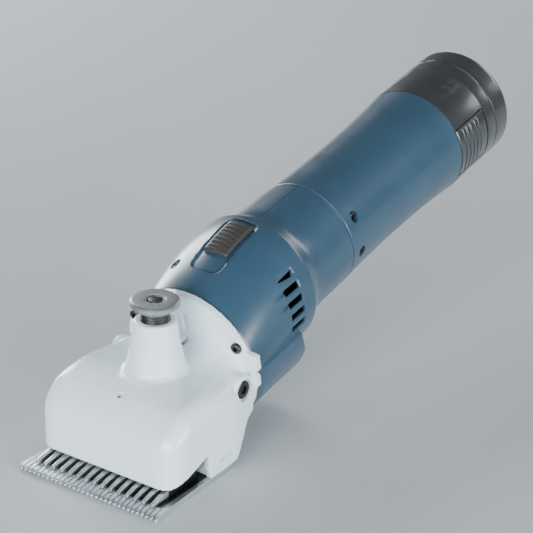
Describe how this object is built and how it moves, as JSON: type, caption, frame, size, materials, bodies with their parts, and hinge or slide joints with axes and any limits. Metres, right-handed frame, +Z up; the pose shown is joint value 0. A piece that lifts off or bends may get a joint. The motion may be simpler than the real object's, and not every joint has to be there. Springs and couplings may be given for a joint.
{
  "type": "cordless sheep shears",
  "caption": "Cordless animal shears: toothed comb and swinging cutter on a white cast head, driven through a geared crank by a motor in a round battery handle.",
  "frame": {"origin": "under the middle of the tool's length, on the plane of the comb's underside", "axes": "+Z up from the comb's underside, +Y towards the battery end, +X to the right of a person looking along +Y; the comb's teeth point to -Y"},
  "size_m": [0.0764, 0.3068, 0.1177],
  "materials": {
    "cutting_steel": "ground and hardened",
    "head_white": "gloss enamel on cast metal",
    "screw_steel": "blackened",
    "machined_steel": "turned",
    "gear_brass": "machined",
    "frame_aluminium": "cast, as cut",
    "housing_blue": "moulded, satin",
    "inner_black": "moulded",
    "armature_steel": "laminated",
    "battery_black": "moulded, gloss",
    "switch_black": "moulded, ribbed",
    "knob_grey": "knurled, blackened",
    "plate_grey": "moulded",
    "cell_wrap": "shrink sleeve",
    "board_green": "glass-epoxy laminate",
    "lead_red": "insulated wire",
    "lead_black": "insulated wire",
    "spring_steel": "wire"
  },
  "bodies": {
    "root": {"comb": "cutting_steel", "comb_screw_left": "screw_steel", "comb_screw_right": "screw_steel", "head_casting": "head_white", "pivot_post": "machined_steel", "tension_pin": "machined_steel", "front_bearing": "machined_steel", "rear_bearing": "machined_steel", "motor_can": "machined_steel", "gearbox_frame": "frame_aluminium", "tension_spring": "spring_steel", "terminal_blade_1": "gear_brass", "terminal_blade_2": "gear_brass", "terminal_blade_3": "gear_brass", "flange_screw_left": "screw_steel", "flange_screw_right": "screw_steel", "flange_screw_bottom": "screw_steel", "side_screw_left": "screw_steel", "side_screw_right": "screw_steel", "sleeve_screw_left_upper": "screw_steel", "sleeve_screw_left_lower": "screw_steel", "sleeve_screw_right_upper": "screw_steel", "sleeve_screw_right_lower": "screw_steel", "housing_screw_1": "screw_steel", "housing_screw_2": "screw_steel", "housing_left": "housing_blue", "housing_right": "housing_blue", "handle_sleeve": "housing_blue", "motor_end_cap": "inner_black", "switch_body": "inner_black", "terminal_block": "inner_black", "end_collar": "battery_black", "control_board": "board_green", "motor_lead_red": "lead_red", "motor_lead_black": "lead_black"},
    "motor_rotor": {"motor_shaft": "machined_steel", "armature": "armature_steel", "cooling_fan": "inner_black"},
    "crank": {"crank_shaft": "machined_steel", "drive_gear": "gear_brass", "crank_roller": "gear_brass"},
    "lever_and_cutter": {"drive_lever": "frame_aluminium", "cutter": "cutting_steel"},
    "tension_cap": {"spring_cap": "gear_brass"},
    "tension_knob": {"tension_knob": "knob_grey"},
    "switch_slider": {"switch_button": "switch_black"},
    "battery": {"battery_case": "battery_black", "battery_end_cap": "battery_black", "battery_top_plate": "plate_grey", "battery_board": "board_green", "battery_cell_1": "cell_wrap", "battery_cell_2": "cell_wrap", "battery_cell_3": "cell_wrap", "battery_cell_4": "cell_wrap", "battery_contact_1": "machined_steel", "battery_contact_2": "machined_steel", "battery_contact_3": "machined_steel"},
    "latch_left": {"latch_pad_left": "battery_black"},
    "latch_right": {"latch_pad_right": "battery_black"}
  },
  "joints": [
    {"name": "motor_spin", "type": "hinge", "parent": "root", "child": "motor_rotor", "pos_m": [0, -0.07874, 0.0477], "axis": [0, 0.9829, 0.184], "continuous": true},
    {"name": "crank_spin", "type": "hinge", "parent": "root", "child": "crank", "pos_m": [0, -0.07664, 0.03649], "axis": [0, 0.9829, 0.184], "continuous": true},
    {"name": "lever_swing", "type": "hinge", "parent": "root", "child": "lever_and_cutter", "pos_m": [0, -0.10444, 0.0141], "axis": [0, 0, 1], "range_deg": [-4, 4]},
    {"name": "tension_feed", "type": "slide", "parent": "root", "child": "tension_cap", "axis": [0, 0, 1], "range_m": [-0.0019, 0.0013], "deforming": ["tension_spring"]},
    {"name": "tension_turn", "type": "hinge", "parent": "tension_cap", "child": "tension_knob", "pos_m": [0, -0.10444, 0.07], "axis": [0, 0, 1], "range_deg": [-540, 360]},
    {"name": "switch_slide", "type": "slide", "parent": "root", "child": "switch_slider", "axis": [0, -0.9829, -0.184], "range_m": [0, 0.006]},
    {"name": "battery_slide", "type": "slide", "parent": "root", "child": "battery", "axis": [0, 0.9829, 0.184], "range_m": [0, 0.09]},
    {"name": "latch_left_press", "type": "slide", "parent": "battery", "child": "latch_left", "axis": [1, 0, 0], "range_m": [0, 0.0015], "stiffness_N_per_m": 300},
    {"name": "latch_right_press", "type": "slide", "parent": "battery", "child": "latch_right", "axis": [-1, 0, 0], "range_m": [0, 0.0015], "stiffness_N_per_m": 300}
  ],
  "couplings": [
    {"joint": "crank_spin", "follows": "motor_spin", "ratio": -0.26667},
    {"joint": "tension_feed", "follows": "tension_turn", "m_per_rad": 0.00019894}
  ]
}
